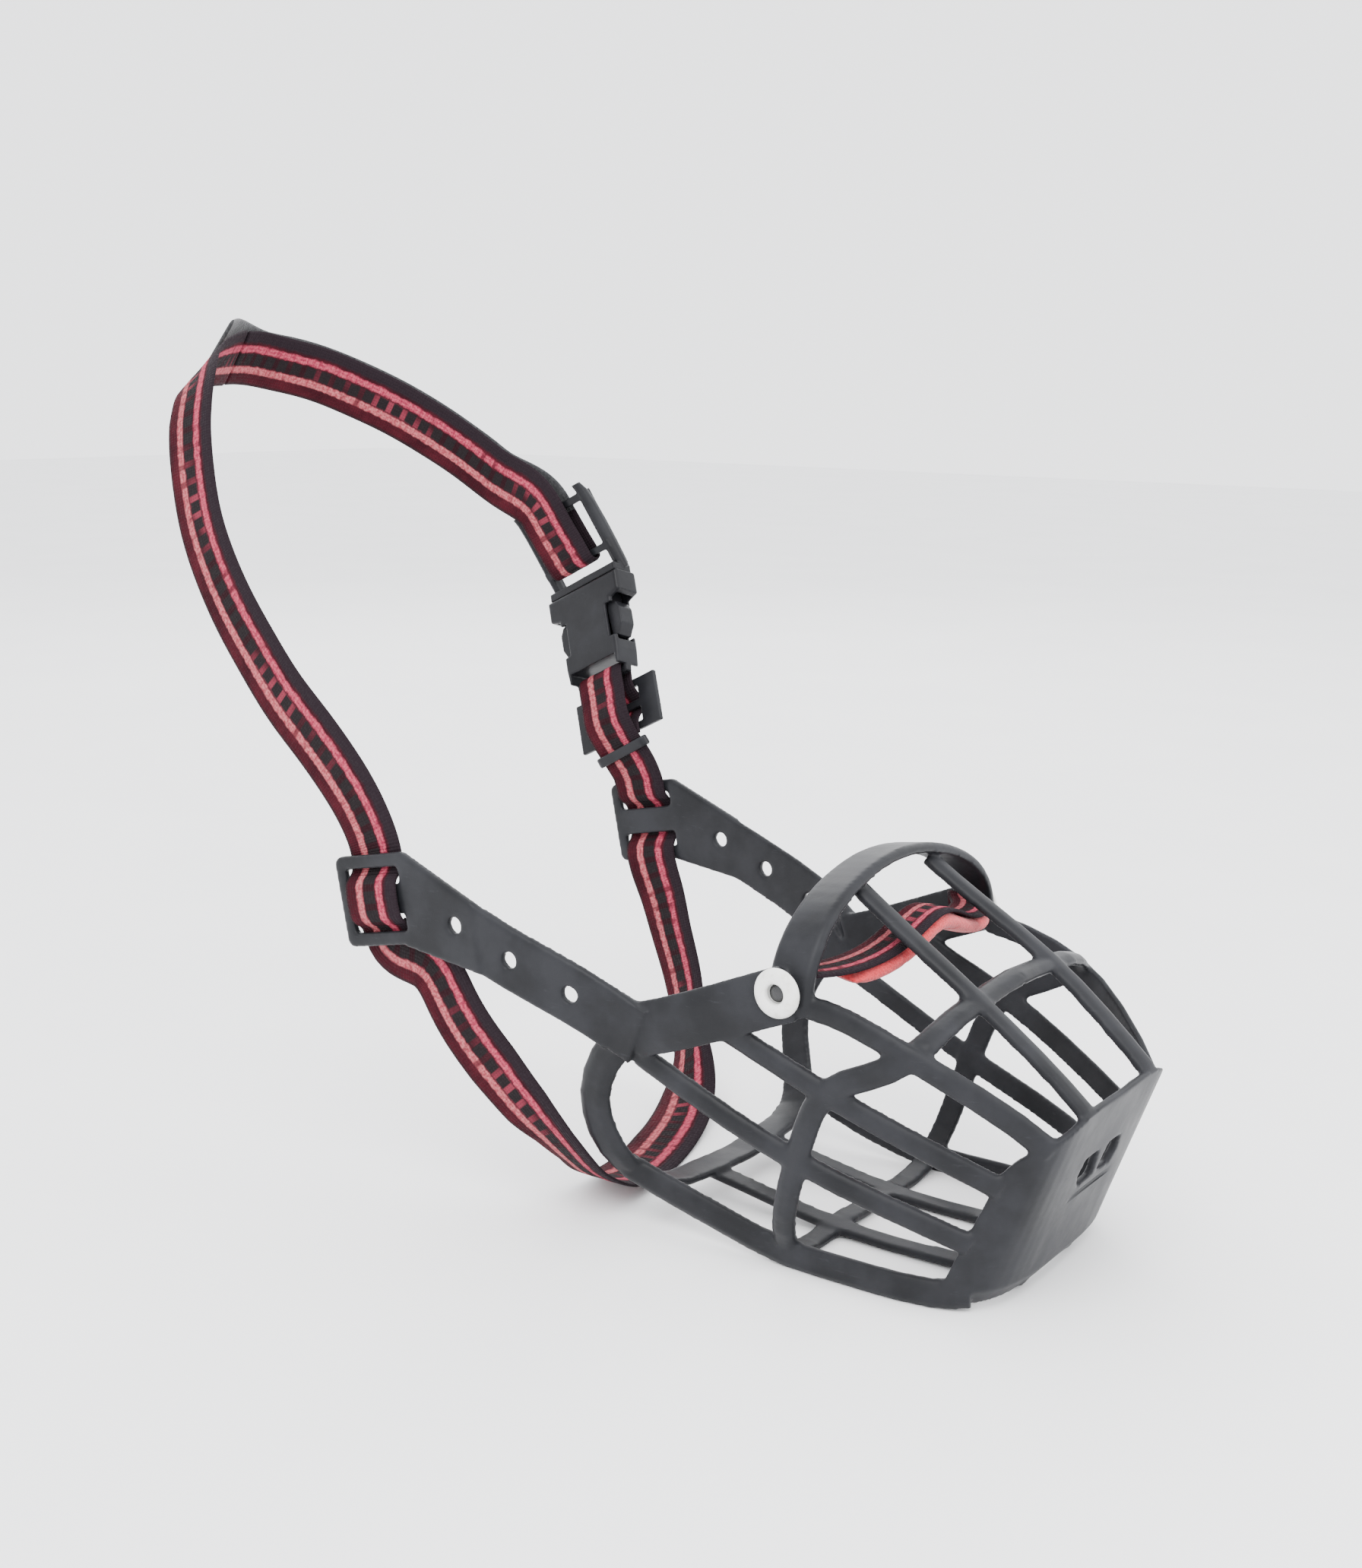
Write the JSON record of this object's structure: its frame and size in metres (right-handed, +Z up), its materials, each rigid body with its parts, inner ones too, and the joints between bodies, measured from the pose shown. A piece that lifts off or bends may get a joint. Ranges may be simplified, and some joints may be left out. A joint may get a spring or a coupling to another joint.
{
  "type": "basket muzzle",
  "caption": "Moulded basket muzzle with slotted cheek arms, a padded nose strap on rivets, a throat strap and an adjustable neck loop with a side-release buckle.",
  "frame": {"origin": "on the underside of the chin bar, at the middle plane, where the cage rests", "axes": "+X points to the nose, +Y to the wearer's left, +Z up"},
  "size_m": [0.3311, 0.1499, 0.2478],
  "materials": {
    "cage_plastic": "satin black moulded plastic with soft edges",
    "webbing": "woven maroon webbing with two pink-red stripes beside a black ladder-pattern centre",
    "tail_webbing": "black woven webbing with a fuzzy face",
    "buckle_plastic": "satin black plastic",
    "cap_plastic": "glossy white plastic",
    "rivet_plastic": "glossy black plastic",
    "pad_fabric": "soft bright red lining"
  },
  "bodies": {
    "cage": {"basket": "cage_plastic", "cheek_arm_left": "cage_plastic", "cheek_arm_right": "cage_plastic", "slot_strap_left": "webbing", "slot_strap_right": "webbing", "rivet_left": "rivet_plastic", "rivet_right": "rivet_plastic", "rivet_cap_left": "cap_plastic", "rivet_cap_right": "cap_plastic", "nose_strap": "webbing", "nose_pad": "pad_fabric"},
    "neck_loop": {"neck_strap_right": "webbing", "neck_strap_left": "webbing", "strap_tail": "tail_webbing", "buckle_strap": "webbing", "buckle_socket": "buckle_plastic", "strap_slider": "buckle_plastic"},
    "throat_loop": {"throat_strap": "webbing"},
    "plug": {"buckle_plug": "buckle_plastic"},
    "prong_front": {"buckle_prong_front": "buckle_plastic"},
    "prong_back": {"buckle_prong_back": "buckle_plastic"}
  },
  "joints": [
    {"name": "neck_swing", "type": "hinge", "parent": "cage", "child": "neck_loop", "pos_m": [-0.12541, 0, 0.09315], "axis": [0, 1, 0], "range_deg": [-45, 40]},
    {"name": "throat_swing", "type": "hinge", "parent": "cage", "child": "throat_loop", "pos_m": [-0.12259, 0, 0.07985], "axis": [0, 1, 0], "range_deg": [0, 40]},
    {"name": "plug_slide", "type": "slide", "parent": "neck_loop", "child": "plug", "axis": [-0.42, 0.31, 0.853], "range_m": [0, 0.024], "deforming": ["neck_strap_left", "strap_tail"]},
    {"name": "prong_front_press", "type": "hinge", "parent": "plug", "child": "prong_front", "pos_m": [-0.14834, 0.07513, 0.16593], "axis": [0.1559, 0.9505, -0.2687], "range_deg": [0, 7], "stiffness_Nm_per_rad": 0.6},
    {"name": "prong_back_press", "type": "hinge", "parent": "plug", "child": "prong_back", "pos_m": [-0.16497, 0.07551, 0.15761], "axis": [0.1559, 0.9505, -0.2687], "range_deg": [-7, 0], "stiffness_Nm_per_rad": 0.6}
  ]
}
